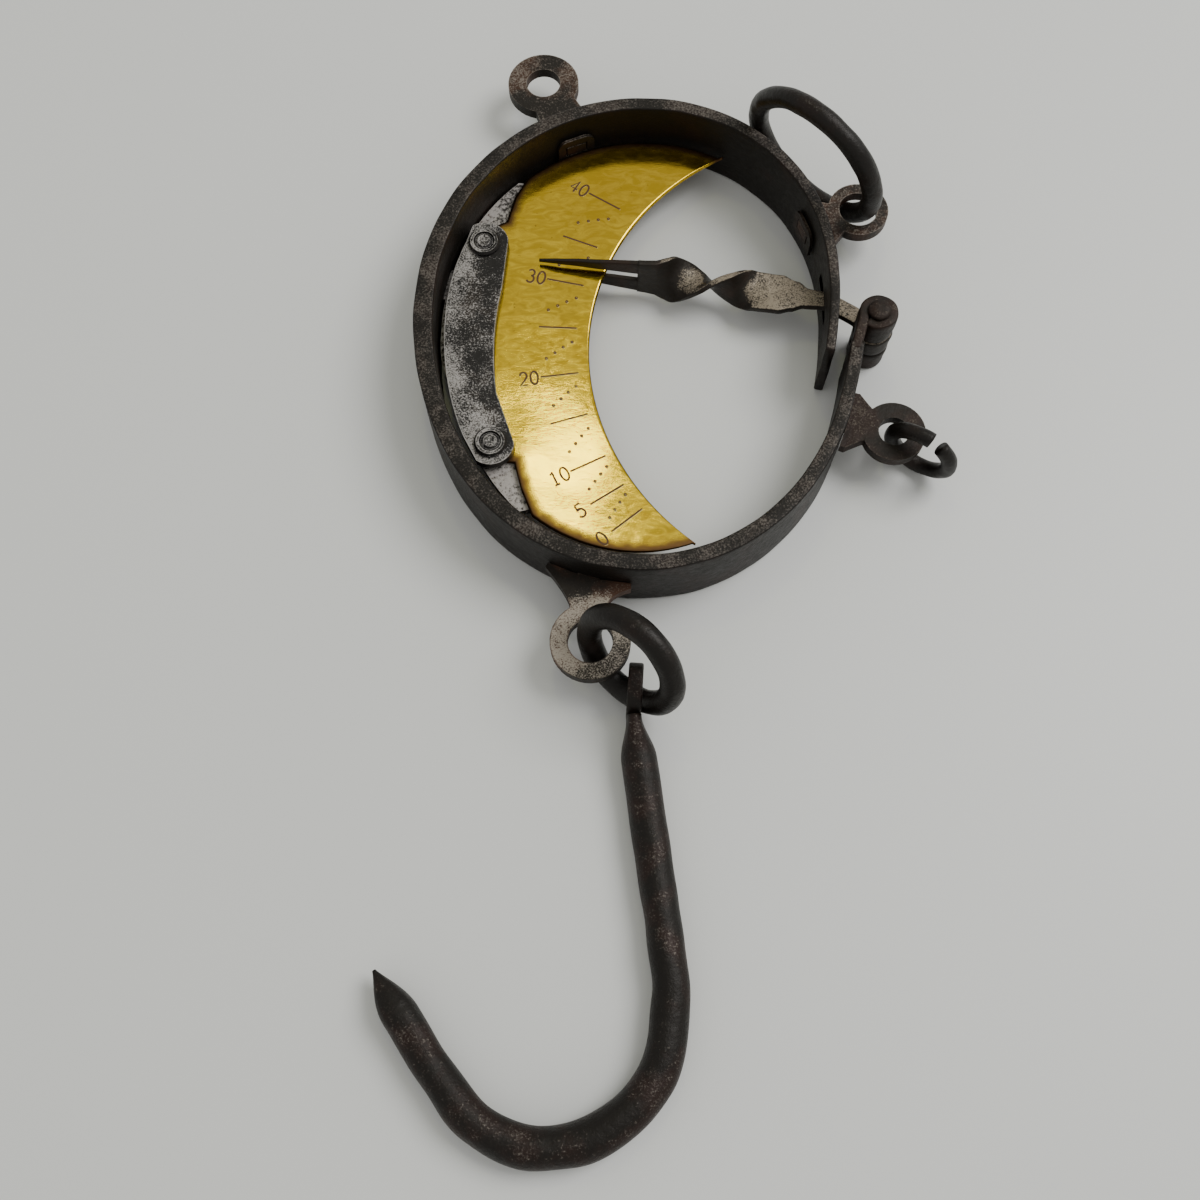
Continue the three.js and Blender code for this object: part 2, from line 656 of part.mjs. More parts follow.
add("spring_upper_arm", upperArm(), DARK_IRON);
add("spring_lower_arm", lowerArm(), DARK_IRON);
add("pivot_pin", pivotPin(), RUSTY_IRON);
for (const name of Object.keys(LUGS)) {
  add(name, lugPlate(name), WORN_IRON);
}
for (const [name, lugName] of Object.entries(ROVES)) {
  add(name, rove(lugName), WORN_IRON);
}
add("dial_bracket", dialBracket(), WORN_IRON);
add("dial_plate", dialPlate(), BRASS);
add("dial_clamp", dialClamp(), WORN_IRON);
for (const [place, point] of Object.entries(RIVETS)) {
  add(`dial_rivet_${place}`, dialRivet(point), DARK_IRON);
  add(`rivet_collar_${place}`, rivetCollar(point), WORN_IRON);
}
add("pointer", pointer(), WORN_IRON);
for (const [name, ring] of Object.entries(RINGS)) {
  add(name, closedRing(ring), DARK_IRON);
}
add("small_link", openLink(), DARK_IRON);
add("load_hook", hook(), DARK_IRON);

export default scale;
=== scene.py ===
import math

import bpy
from mathutils import Matrix, Vector, noise


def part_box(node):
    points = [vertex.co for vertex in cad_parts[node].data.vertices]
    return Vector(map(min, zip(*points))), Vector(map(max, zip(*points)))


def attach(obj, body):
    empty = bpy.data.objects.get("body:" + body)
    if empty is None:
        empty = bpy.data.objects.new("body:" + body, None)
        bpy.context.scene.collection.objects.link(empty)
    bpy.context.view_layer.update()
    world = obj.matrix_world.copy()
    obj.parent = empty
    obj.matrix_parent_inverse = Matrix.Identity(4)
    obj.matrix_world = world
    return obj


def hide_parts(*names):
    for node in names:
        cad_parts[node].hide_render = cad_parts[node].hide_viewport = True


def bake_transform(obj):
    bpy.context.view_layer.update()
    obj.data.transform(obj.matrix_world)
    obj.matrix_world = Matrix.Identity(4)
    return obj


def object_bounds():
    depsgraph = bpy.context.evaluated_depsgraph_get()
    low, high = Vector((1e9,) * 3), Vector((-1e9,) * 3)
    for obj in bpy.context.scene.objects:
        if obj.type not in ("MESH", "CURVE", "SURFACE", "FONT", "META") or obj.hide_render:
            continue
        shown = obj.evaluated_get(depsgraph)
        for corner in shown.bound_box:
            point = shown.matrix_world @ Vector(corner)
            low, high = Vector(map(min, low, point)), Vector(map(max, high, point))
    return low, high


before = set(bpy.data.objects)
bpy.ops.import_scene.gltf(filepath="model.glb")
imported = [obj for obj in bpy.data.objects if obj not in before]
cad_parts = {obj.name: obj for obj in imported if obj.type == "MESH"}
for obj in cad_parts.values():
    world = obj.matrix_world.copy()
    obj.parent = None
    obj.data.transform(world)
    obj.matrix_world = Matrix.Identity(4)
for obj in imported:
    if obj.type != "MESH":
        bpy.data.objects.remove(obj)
cad_low, cad_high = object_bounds()

NOISE_SEED = 7
noise.seed_set(NOISE_SEED)  # without a seed, noise_vector gives other values in each run

# ------------------------------------------------------------------ dimensions, in millimetres and degrees

MM = 0.001
PIN = Vector((58.6, -0.9, 10.0))  # the pivot pin, from the middle of the spring band

# The band's middle line is an oval, a little egg-shaped, that winds outwards from the tip to the end.
BAND_WIDTH = 20.0
BAND_RADIUS, BAND_GROWTH = 54.3, 1.0  # the growth is for each radian
BAND_OVAL, BAND_OVAL_ANGLE = 5.9, 86.5
BAND_EGG, BAND_EGG_ANGLE = 1.0, -18.3
TIP_THICKNESS, BACK_THICKNESS, END_THICKNESS = 2.2, 4.8, 3.1
TIP_ANGLE, BACK_ANGLE, END_ANGLE, TAPER_END = -14.0, 180.0, 350.5, 357.0
FLEX_ANGLE, FLEX_SPAN = 205.0, 12.0  # where the band bends, and how far to each side
SLOT_ANGLE, SLOT_LENGTH, SLOT_HEIGHT, SLOT_MIDDLE = 10.6, 13.8, 3.0, 9.3
KNUCKLE_RADIUS, KNUCKLE_THICKNESS = 3.5, 2.5
UPPER_KNUCKLE, LOWER_KNUCKLE = (12.7, 20.0), (0.0, 6.3)  # the lowest and highest point of each

EYE_HEIGHT = 10.2
LOAD_EYE = (-11.4, -81.8)
# Each ring stands on its edge in an eye. middle is the height of its centre, bar the radius of its bar.
TOP_RING = {"eye": (57.3, 34.3), "direction": 137, "lean": 9, "radius": 18.6, "middle": 21.0, "bar": 2.6}
LOAD_RING = {"eye": LOAD_EYE, "direction": -42, "lean": 18, "radius": 12.0, "middle": 15.6, "bar": 2.9}
LINK = {"eye": (61.8, -29.0), "direction": -34, "lean": -4, "radius": 7.7, "middle": 9.8, "bar": 1.95}
LINK_TURNS = (80, 418)  # the link is open over the rest of its turn

DIAL_CENTRE, DIAL_INNER = (53.4, -5.1), 65.3
DIAL_BOTTOM, DIAL_TOP = 7.7, 8.75
DIAL_DOME, DIAL_DOME_SIZE = 0.12, 14.0  # hammered unevenness: its height and its width
DIAL_TOP_ANGLES, DIAL_TOP_GAP = (64, 122), 1.7
DIAL_BOTTOM_ANGLES, DIAL_BOTTOM_GAPS = (241.5, 285), (4.2, 5.3)
MARK_CENTRE = (58.0, -2.1)
MARK_RADII, MARK_WIDTH = (73.1, 82.6), 0.46
DOT_RADII, DOT_RADIUS = (80.7, 78.5, 76.4, 74.2), 0.26
NUMBER_RADIUS, NUMBER_HEIGHT, NUMBER_STROKE = 85.3, 3.9, 0.52
MARKS = {0: -38.7, 5: -32.7, 10: -25.8, 15: -16.3, 20: -7.2, 25: 2.7, 30: 12.5, 35: 21.8, 40: 32.0}

# Everything is placed from the CAD's pin, which is the same pin.
pin_low, pin_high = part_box("pivot_pin")
pin_middle = (pin_low + pin_high) / 2
ORIGIN = Vector((pin_middle.x / MM - PIN.x, pin_middle.y / MM - PIN.y, 0))


def place(point):
    """A point measured from the band's middle, in millimetres, as a point of the row frame in metres."""
    return (Vector(point) + ORIGIN) * MM


def lerp(a, b, t):
    return a + (b - a) * t


def smooth(t):
    t = min(1.0, max(0.0, t))
    return t * t * (3 - 2 * t)


def steps(start, end, count):
    return [lerp(start, end, i / count) for i in range(count + 1)]


# ------------------------------------------------------------------ materials


class Nodes:
    """A short way to write a material's nodes."""

    def __init__(self, name):
        self.material = bpy.data.materials.new(name)
        self.material.use_nodes = True
        self.tree = self.material.node_tree
        self.shader = self.tree.nodes["Principled BSDF"]
        self.coordinates = self.tree.nodes.new("ShaderNodeTexCoord").outputs["Object"]

    def put(self, socket, value):
        if isinstance(value, bpy.types.NodeSocket):
            self.tree.links.new(value, socket)
        else:
            socket.default_value = value

    def add(self, kind, inputs=None, output=0, **settings):
        node = self.tree.nodes.new(kind)
        for key, value in settings.items():
            setattr(node, key, value)
        for key, value in (inputs or {}).items():
            self.put(node.inputs[key], value)
        return node.outputs[output]

    def noise(self, size, detail=4.0, roughness=0.55, stretch=(1, 1, 1), distortion=0.0):
        """Noise whose lumps are about this many millimetres across."""
        moved = self.add(
            "ShaderNodeMapping", {"Vector": self.coordinates, "Scale": stretch}, vector_type="POINT"
        )
        inputs = {
            "Vector": moved,
            "Scale": 1 / (size * MM),
            "Detail": detail,
            "Roughness": roughness,
            "Distortion": distortion,
        }
        return self.add("ShaderNodeTexNoise", inputs)

    def ramp(self, value, low, high):
        """0 below low and 1 above high."""
        return self.add(
            "ShaderNodeMapRange",
            {"Value": value, "From Min": low, "From Max": high},
            interpolation_type="SMOOTHSTEP",
        )

    def math(self, operation, a, b=0.0, clamp=False):
        return self.add("ShaderNodeMath", {0: a, 1: b}, operation=operation, use_clamp=clamp)

    def mix(self, factor, a, b):
        inputs = {0: factor, 6: a, 7: b}
        return self.add("ShaderNodeMix", inputs, output=2, data_type="RGBA", clamp_factor=True)

    def away(self, centre, low, high):
        """0 nearer to a point than low, and 1 farther than high, in millimetres."""
        inputs = {0: self.coordinates, 1: place(centre)}
        distance = self.add("ShaderNodeVectorMath", inputs, output="Value", operation="DISTANCE")
        return self.ramp(distance, low * MM, high * MM)

    def attribute(self, name):
        return self.add("ShaderNodeAttribute", output="Fac", attribute_name=name)

    def upward(self):
        """1 on faces that look up, 0 on sides."""
        normal = self.add("ShaderNodeNewGeometry", output="Normal")
        up = self.add("ShaderNodeSeparateXYZ", {"Vector": normal}, output="Z")
        return self.ramp(up, 0.55, 0.95)

    def arris(self, width):
        """1 on edges and corners, where handling has worn the surface."""
        rounded = self.add("ShaderNodeBevel", {"Radius": width * MM}, samples=6)
        flat = self.add("ShaderNodeNewGeometry", output="Normal")
        inputs = {0: rounded, 1: flat}
        agree = self.add("ShaderNodeVectorMath", inputs, output="Value", operation="DOT_PRODUCT")
        return self.ramp(agree, 0.995, 0.93)

    def bump(self, *layers):
        """Stacks bump layers, each (height, distance in millimetres)."""
        normal = None
        for height, distance in layers:
            inputs = {"Height": height, "Distance": distance * MM, "Strength": 1.0}
            if normal is not None:
                inputs["Normal"] = normal
            normal = self.add("ShaderNodeBump", inputs)
        self.put(self.shader.inputs["Normal"], normal)


def grey(value, warmth=0.0):
    return (value * (1 + warmth), value, value * (1 - warmth), 1)


def iron(name, dark, light, rust, wear, edge_wear, top_wear_and_light, shine=0.5, speckle=0.5, **more):
    """Old iron: a dark skin, rust in patches, and paler metal where it has worn; faces that look up get more
    pale specks, partly as painted light from above.

    wear and edge_wear say how much is bare everywhere and on edges; the amount for the top makes faces that
    look up paler, partly as wear and partly as painted light from above. more may hold:
    rust_share, how much of the skin is rust; soft, how softly bare metal ends; relief, the depth of the pits;
    fade, which changes the wear with the distance from a point, as (point, near, far, change).
    """
    rust_share = more.get("rust_share", 0.35)
    soft = more.get("soft", 0.1)
    relief = more.get("relief", 1.0)
    fade = more.get("fade")
    n = Nodes(name)
    patches = n.noise(9.0, detail=5)
    grain = n.noise(speckle, detail=6, roughness=0.75)
    pits = n.noise(1.7, detail=4, roughness=0.65)
    rusty = n.ramp(patches, 0.62 - rust_share * 0.4, 0.82 - rust_share * 0.4)
    colour = n.mix(n.math("MULTIPLY", rusty, 0.75), dark, rust)
    colour = n.mix(n.math("MULTIPLY", n.ramp(pits, 0.5, 0.8), 0.45), colour, grey(0.01, 0.25))
    # Faces that look up get paler: partly wear, partly painted light falling from above.
    worn = n.math("MULTIPLY", n.upward(), top_wear_and_light)
    worn = n.math("ADD", worn, n.math("MULTIPLY", n.arris(0.5), edge_wear))
    worn = n.math("ADD", worn, wear)
    if fade:
        centre, near, far, change = fade
        worn = n.math("ADD", worn, n.math("MULTIPLY", n.away(centre, near, far), change))
    broken = n.math("ADD", n.math("MULTIPLY", grain, 1.2), n.math("MULTIPLY", patches, 0.55))
    broken = n.math("ADD", broken, n.math("MULTIPLY", pits, 0.35))
    # This pale mask holds the worn metal together with the painted top light.
    bare = n.ramp(n.math("SUBTRACT", broken, n.math("SUBTRACT", 1.5, worn)), -soft, soft)
    colour = n.mix(bare, colour, light)
    n.put(n.shader.inputs["Base Color"], colour)
    n.put(n.shader.inputs["Metallic"], 0.35)
    n.put(n.shader.inputs["Roughness"], n.math("ADD", n.math("MULTIPLY", pits, 0.35), shine - 0.15))
    n.put(n.shader.inputs["Specular IOR Level"], 0.35)
    n.bump((n.noise(4.0, detail=3), 0.16 * relief), (pits, 0.14 * relief), (grain, 0.06 * relief))
    return n.material


BLACK_IRON = iron(
    "black_iron",
    dark=grey(0.006, 0.35),
    light=grey(0.105, 0.16),
    rust=(0.017, 0.008, 0.005, 1),
    wear=0.0,
    edge_wear=0.2,
    top_wear_and_light=0.35,
    soft=0.14,
)
HOOK_IRON = iron(
    "hook_iron",
    dark=grey(0.006, 0.35),
    light=grey(0.15, 0.16),
    rust=(0.02, 0.008, 0.005, 1),
    wear=0.18,
    edge_wear=0.0,
    top_wear_and_light=0.08,
    shine=0.42,
    rust_share=0.5,
    soft=0.14,
    relief=1.5,
)
RING_IRON = iron(
    "ring_iron",
    dark=grey(0.0075, 0.25),
    light=grey(0.07, 0.14),
    rust=(0.015, 0.008, 0.005, 1),
    wear=0.1,
    edge_wear=0.1,
    top_wear_and_light=0.14,
    shine=0.36,
    relief=1.2,
)
WORN_IRON = iron(
    "worn_iron",
    dark=grey(0.014, 0.3),
    light=(0.33, 0.29, 0.235, 1),
    rust=(0.085, 0.036, 0.018, 1),
    wear=0.1,
    edge_wear=-0.35,
    top_wear_and_light=0.36,
    shine=0.55,
    speckle=0.4,
    rust_share=0.45,
    fade=((*LOAD_EYE, 10.0), 9.5, 14.0, -0.22),
)
DARK_LUG_IRON = iron(
    "dark_lug_iron",
    dark=grey(0.011, 0.3),
    light=grey(0.18, 0.18),
    rust=(0.06, 0.025, 0.012, 1),
    wear=0.06,
    edge_wear=0.16,
    top_wear_and_light=0.28,
    rust_share=0.5,
    soft=0.14,
)
CLAMP_IRON = iron(
    "clamp_iron",
    dark=grey(0.013, 0.12),
    light=grey(0.38, 0.06),
    rust=(0.03, 0.02, 0.013, 1),
    wear=0.08,
    edge_wear=0.2,
    top_wear_and_light=0.24,
    speckle=0.45,
    fade=((0, 0, 8.7), 42, 48, 0.12),
)
PLATE_IRON = iron(
    "plate_iron",
    dark=grey(0.03, 0.15),
    light=grey(0.42, 0.08),
    rust=(0.07, 0.035, 0.02, 1),
    wear=0.3,
    edge_wear=0.1,
    top_wear_and_light=0.2,
    shine=0.55,
    speckle=0.8,
)
RUSTY_IRON = iron(
    "rusty_iron",
    dark=grey(0.009, 0.35),
    light=grey(0.07, 0.25),
    rust=(0.022, 0.009, 0.005, 1),
    wear=0.16,
    edge_wear=0.12,
    top_wear_and_light=0.14,
    rust_share=0.6,
)
POINTER_IRON = iron(
    "pointer_iron",
    dark=grey(0.013, 0.3),
    light=(0.27, 0.225, 0.165, 1),
    rust=(0.03, 0.015, 0.009, 1),
    wear=-0.1,
    edge_wear=-0.3,
    top_wear_and_light=0.62,
    shine=0.45,
    speckle=0.4,
    soft=0.12,
    fade=((PIN.x, PIN.y, 9.0), 54, 58, -0.45),
)


def brass():
    """Brushed brass, browned near its edges, with painted shade towards the dial's upper end, away from where
    it mirrors the glare lamp.
    """
    n = Nodes("dial_brass")
    edge = n.attribute("edge")
    fine = n.noise(0.5, detail=3, stretch=(0.4, 1.4, 1), distortion=0.4)
    wavy = n.noise(2.6, detail=5, stretch=(0.5, 1.2, 1), distortion=1.6)
    cloud = n.noise(14.0, detail=3)
    colour = n.mix(n.ramp(wavy, 0.35, 0.7), (0.62, 0.41, 0.03, 1), (0.84, 0.585, 0.05, 1))
    colour = n.mix(n.math("MULTIPLY", n.ramp(cloud, 0.45, 0.75), 0.4), colour, (0.5, 0.3, 0.025, 1))
    # Painted shade: the brass is darker farther from the spot near its lower middle that mirrors the glare
    # lamp.
    glare_falloff_shade = n.away((-25, -35, 8.7), 55, 105)
    colour = n.mix(n.math("MULTIPLY", glare_falloff_shade, 0.35), colour, (0.45, 0.26, 0.03, 1))
    reach = n.math("ADD", edge, n.math("MULTIPLY", n.math("SUBTRACT", n.noise(3.0, detail=4), 0.5), 2.2))
    stain = n.math("SUBTRACT", 1.0, n.ramp(reach, 0.6, 3.6))
    colour = n.mix(n.math("MULTIPLY", stain, 0.9), colour, (0.085, 0.035, 0.03, 1))
    spots = n.ramp(n.noise(1.3, detail=2), 0.7, 0.78)
    colour = n.mix(n.math("MULTIPLY", spots, 0.55), colour, (0.2, 0.09, 0.03, 1))
    n.put(n.shader.inputs["Base Color"], colour)
    n.put(n.shader.inputs["Metallic"], 1.0)
    rough = n.math("ADD", n.math("MULTIPLY", wavy, 0.12), 0.085)
    n.put(n.shader.inputs["Roughness"], n.math("ADD", rough, n.math("MULTIPLY", stain, 0.2)))
    n.bump((n.noise(9.0, detail=1), 0.05), (wavy, 0.012), (fine, 0.009))
    return n.material


def plain(name, colour, roughness, metallic=0.0):
    n = Nodes(name)
    n.put(n.shader.inputs["Base Color"], colour)
    n.put(n.shader.inputs["Metallic"], metallic)
    n.put(n.shader.inputs["Roughness"], roughness)
    return n.material


BRASS = brass()
# Painted shadow for the engraved cuts, which are flat ribbons and not real grooves.
ENGRAVED_SHADOW = plain("engraved_painted_shadow", (0.09, 0.04, 0.015, 1), 0.6, 0.3)
# Painted highlight for the lip beside each cut.
ENGRAVED_HIGHLIGHT = plain("engraved_painted_highlight", (0.95, 0.72, 0.28, 1), 0.3, 1.0)


# ------------------------------------------------------------------ meshes


def make(name, points, faces, material, attributes=None):
    """A mesh object from points in millimetres."""
    mesh = bpy.data.meshes.new(name)
    mesh.from_pydata([place(p) for p in points], [], faces)
    mesh.validate()
    mesh.materials.append(material)
    for polygon in mesh.polygons:
        polygon.use_smooth = True
    for key, values in (attributes or {}).items():
        mesh.attributes.new(key, "FLOAT", "POINT").data.foreach_set("value", values)
    piece = bpy.data.objects.new(name, mesh)
    bpy.context.scene.collection.objects.link(piece)
    return piece


def skin(sections, caps=(True, True), closed=False):
    """(points, faces) of a skin over sections that all have the same number of corners."""
    corners = len(sections[0])
    points = [p for section in sections for p in section]
    faces = []
    rows = len(sections)
    for i in range(rows if closed else rows - 1):
        here, there = i * corners, (i + 1) % rows * corners
        for j in range(corners):
            k = (j + 1) % corners
            faces.append((here + j, here + k, there + k, there + j))
    if caps[0] and not closed:
        faces.append(tuple(reversed(range(corners))))
    if caps[1] and not closed:
        faces.append(tuple(range((rows - 1) * corners, rows * corners)))
    return points, faces


def merge(*parts):
    """Several (points, faces) as one."""
    points, faces = [], []
    for more_points, more_faces in parts:
        start = len(points)
        points += more_points
        faces += [tuple(i + start for i in face) for face in more_faces]
    return points, faces


def rounded_box(width, height, radius, across=3, along=8, corner=3):
    """Points round a rectangle with rounded corners, as (a, b) pairs."""
    radius = min(radius, width * 0.49, height * 0.49)
    w, h = width / 2 - radius, height / 2 - radius
    points = []
    centres = ((w, h, 0), (-w, h, 90), (-w, -h, 180), (w, -h, 270))
    for i, (x, y, start) in enumerate(centres):
        for turn in steps(start, start + 90, corner):
            a = math.radians(turn)
            points.append((x + radius * math.cos(a), y + radius * math.sin(a)))
        nx, ny, _ = centres[(i + 1) % 4]
        last = points[-1]
        after = math.radians(centres[(i + 1) % 4][2])
        target = (nx + radius * math.cos(after), ny + radius * math.sin(after))
        count = along if i % 2 else across
        for k in range(1, count):
            points.append((lerp(last[0], target[0], k / count), lerp(last[1], target[1], k / count)))
    return points


def uneven(point, amount, size, seed=0.0):
    """Moves a point a little, as a hammer would have left it."""
    shift = noise.noise_vector((point + Vector((seed, seed * 2, seed * 3))) / size)
    return point + shift * amount


def spline(points, count):
    """Evenly spaced points, and their tangents, on a smooth curve through these points."""
    points = [Vector(p) for p in points]
    ends = [2 * points[0] - points[1]] + points + [2 * points[-1] - points[-2]]
    fine, pieces = [], 40
    for i in range(len(points) - 1):
        p0, p1, p2, p3 = ends[i : i + 4]
        for k in range(pieces):
            t = k / pieces
            linear = (p2 - p0) * t
            square = (2 * p0 - 5 * p1 + 4 * p2 - p3) * t * t
            cubic = (3 * p1 - p0 - 3 * p2 + p3) * t**3
            fine.append(0.5 * (2 * p1 + linear + square + cubic))
    fine.append(points[-1])
    lengths = [0.0]
    for a, b in zip(fine, fine[1:]):
        lengths.append(lengths[-1] + (b - a).length)
    result, i = [], 0
    for target in steps(0, lengths[-1], count):
        while i < len(fine) - 2 and lengths[i + 1] < target:
            i += 1
        part = (target - lengths[i]) / (lengths[i + 1] - lengths[i])
        result.append((fine[i].lerp(fine[i + 1], part), (fine[i + 1] - fine[i]).normalized()))
    return result, lengths[-1]


# ------------------------------------------------------------------ the spring band


def band_radius(angle):
    a = math.radians(angle)
    oval = BAND_OVAL * math.cos(2 * (a - math.radians(BAND_OVAL_ANGLE)))
    egg = BAND_EGG * math.cos(3 * (a - math.radians(BAND_EGG_ANGLE)))
    return BAND_RADIUS + BAND_GROWTH * a + oval - egg


def band_point(angle):
    a = math.radians(angle)
    return Vector((math.cos(a), math.sin(a), 0)) * band_radius(angle)


def band_normal(angle):
    along = band_point(angle + 0.5) - band_point(angle - 0.5)
    return Vector((along.y, -along.x, 0)).normalized()


def band_thickness(angle):
    if angle < BACK_ANGLE:
        return lerp(TIP_THICKNESS, BACK_THICKNESS, (angle - TIP_ANGLE) / (BACK_ANGLE - TIP_ANGLE))
    past_back = (angle - BACK_ANGLE) / (TAPER_END - BACK_ANGLE)
    return lerp(BACK_THICKNESS, END_THICKNESS, min(1.0, past_back))


def band_section(angle):
    middle, normal = band_point(angle), band_normal(angle)
    corners = rounded_box(band_thickness(angle), BAND_WIDTH, 0.45, across=4, along=16)
    section = []
    for a, b in corners:
        point = middle + normal * a + Vector((0, 0, BAND_WIDTH / 2 + b))
        moved = uneven(point, 0.16, 9.0)
        section.append(Vector((moved.x, moved.y, min(BAND_WIDTH + 0.1, max(0.0, moved.z)))))
    return section


def strip(name, start, end, caps):
    count = max(4, round((end - start) / 1.25))
    return make(name, *skin([band_section(a) for a in steps(start, end, count)], caps), BLACK_IRON)


def build_band():
    """The band's arms, and between them a piece, fixed to no arm, over the part where the CAD has its hinge.
    """
    bend_start, bend_end = FLEX_ANGLE - FLEX_SPAN, FLEX_ANGLE + FLEX_SPAN
    upper = strip("band_upper", TIP_ANGLE, bend_start, (True, False))
    middle = strip("band_bend", bend_start, bend_end, (False, False))
    lower = strip("band_lower", bend_end, END_ANGLE, (False, True))
    knuckles = make("band_knuckles", *merge(tongue(*UPPER_KNUCKLE), tongue(*LOWER_KNUCKLE)), RUSTY_IRON)
    cut_slot(upper)
    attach(upper, "upper_arm")
    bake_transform(middle)
    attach(lower, "lower_arm")
    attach(knuckles, "lower_arm")
    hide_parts("spring_upper_arm")
    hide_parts("spring_lower_arm")


def tongue(low, high):
    """One side of the fork, rolled round the pin."""
    path = [band_point(END_ANGLE - 2), band_point(END_ANGLE)]
    path += [Vector((54.1, -5.0, 0)), Vector((54.85, -2.4, 0))]
    for turn in steps(180, -140, 26):
        a = math.radians(turn)
        path.append(Vector((PIN.x + KNUCKLE_RADIUS * math.cos(a), PIN.y + KNUCKLE_RADIUS * math.sin(a), 0)))
    return sweep(spline(path, 60)[0], KNUCKLE_THICKNESS, low, high)


def sweep(route, thickness, low, high, radius=0.45):
    """(points, faces) of an upright strip along a route."""
    sections = []
    for middle, along in route:
        normal = Vector((along.y, -along.x, 0))
        section = []
        for a, b in rounded_box(thickness, high - low, radius, across=3, along=6):
            point = Vector((middle.x, middle.y, 0)) + normal * a + Vector((0, 0, (low + high) / 2 + b))
            section.append(uneven(point, 0.25, 5.0))
        sections.append(section)
    return skin(sections)


def cut_slot(piece):
    """The pointer's slot through the upper arm's end."""
    normal = band_normal(SLOT_ANGLE)
    along = Vector((-normal.y, normal.x, 0))
    middle = band_point(SLOT_ANGLE) + Vector((0, 0, SLOT_MIDDLE))
    sections = []
    for depth in (-5, 5):
        corners = rounded_box(SLOT_LENGTH, SLOT_HEIGHT, 0.8, across=2, along=2)
        sections.append([middle + normal * depth + along * a + Vector((0, 0, b)) for a, b in corners])
    cutter = make("slot_cutter", *skin(sections), BLACK_IRON)
    modifier = piece.modifiers.new("slot", "BOOLEAN")
    modifier.operation = "DIFFERENCE"
    modifier.object = cutter
    bake(piece)
    bpy.data.objects.remove(cutter)


def bake(piece):
    """Applies a piece's modifiers."""
    bpy.context.view_layer.update()
    evaluated = piece.evaluated_get(bpy.context.evaluated_depsgraph_get())
    piece.data = bpy.data.meshes.new_from_object(evaluated)
    piece.modifiers.clear()


# ------------------------------------------------------------------ pin, rings, link and hook


def turned(x, y, profile, count=28):
    """(points, faces) of a round solid about an upright axis; profile is (radius, height) pairs."""
    sections = []
    for radius, z in profile:
        turns = [math.radians(t) for t in steps(0, 360, count)[:-1]]
        sections.append([Vector((x + radius * math.cos(t), y + radius * math.sin(t), z)) for t in turns])
    return skin(sections)


def build_pin():
    shank = [(1.8, 0.3), (2.2, 0.7), (2.2, 20.1)]
    head = [(2.75, 20.2), (2.8, 20.6), (2.5, 21.0), (1.6, 21.2), (0.3, 21.25)]
    points, faces = turned(PIN.x, PIN.y, shank + head)
    pin = make("pin", [uneven(p, 0.15, 2.0) for p in points], faces, RUSTY_IRON)
    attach(pin, "lower_arm")
    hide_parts("pivot_pin")


def ring_frame(eye, direction, lean, radius, middle):
    """The middle of a ring through an eye, and two directions in its plane."""
    a, b = math.radians(direction), math.radians(lean)
    u = Vector((math.cos(a), math.sin(a), 0))
    v = Vector((-u.y * math.sin(b), u.x * math.sin(b), math.cos(b)))
    climb = (middle - EYE_HEIGHT) / v.z
    away = math.sqrt(radius**2 - climb**2)
    return Vector((*eye, EYE_HEIGHT)) + u * away + v * climb, u, v


def ring(name, body, node, eye, direction, lean, radius, middle, bar, turns=(0, 360), rows=96, seed=0.0):
    """A ring of round bar, or part of one, through a lug's eye."""
    centre, u, v = ring_frame(eye, direction, lean, radius, middle)
    whole = turns[1] - turns[0] == 360
    normal = u.cross(v)
    sections = []
    for turn in steps(*turns, rows)[: rows if whole else None]:
        a = math.radians(turn)
        out = u * math.cos(a) + v * math.sin(a)
        thick = bar * (1 + 0.05 * noise.noise(out * 2 + Vector((seed, 0, 0))))
        section = []
        for k in range(20):
            b = -math.tau * k / 20
            point = centre + out * (radius + thick * math.cos(b)) + normal * (thick * math.sin(b))
            section.append(uneven(point, 0.16, 4.5, seed))
        sections.append(section)
    piece = make(name, *skin(sections, closed=whole), RING_IRON)
    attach(piece, body)
    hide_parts(node)


def build_rings():
    ring("ring_top", "suspension_ring", "suspension_ring", **TOP_RING)
    ring("ring_load", "load_ring", "load_ring", **LOAD_RING, seed=4.0)
    ring("link", "small_link", "small_link", **LINK, turns=LINK_TURNS, rows=60, seed=8.0)


HOOK_ROUTE = [
    (-1.5, -98.0, 6.0), (-1.1, -102.0, 5.5), (-0.3, -108, 4.8), (2.0, -125, 4.4), (4.9, -147, 4.4),
    (6.0, -160, 4.4), (2.6, -175.5, 4.4), (-8.5, -186.2, 4.4), (-22.4, -189.2, 4.4),
    (-34.6, -184.8, 4.4), (-43.5, -174.9, 4.4), (-50.8, -164.4, 4.4), (-58.0, -153.8, 4.4),
]
HOOK_EYE, HOOK_EYE_TURN, HOOK_EYE_RADIUS = Vector((-1.2, -92.4, 6.7)), -4, 6.0
SHANK_RADIUS, BEND_RADIUS = 4.1, 4.4  # of the bar
BLADE_HALF_WIDTH, BLADE_HALF_HEIGHT = 1.8, 5.6  # where the bar is beaten flat, by the eye
BLADE_LENGTH, POINT_LENGTH = 9.5, 11.5


def hook_size(distance, length, height_limit):
    """Half width, half height and squareness of the bar, this far along a hook of this length."""
    flat = 1 - smooth((distance - 0.5) / BLADE_LENGTH)
    point = smooth((length - distance) / POINT_LENGTH) ** 0.6
    bend = smooth((distance - 55) / 30) * (1 - smooth((distance - length + 50) / 25))
    round_size = lerp(SHANK_RADIUS, BEND_RADIUS, bend)
    width = lerp(round_size, BLADE_HALF_WIDTH, flat) * lerp(0.1, 1, point)
    height = min(lerp(round_size, BLADE_HALF_HEIGHT, flat), height_limit) * lerp(0.16, 1, point)
    squareness = 0.5 * flat + 0.35 * (1 - smooth((length - distance - 6) / 10))
    return width, height, squareness


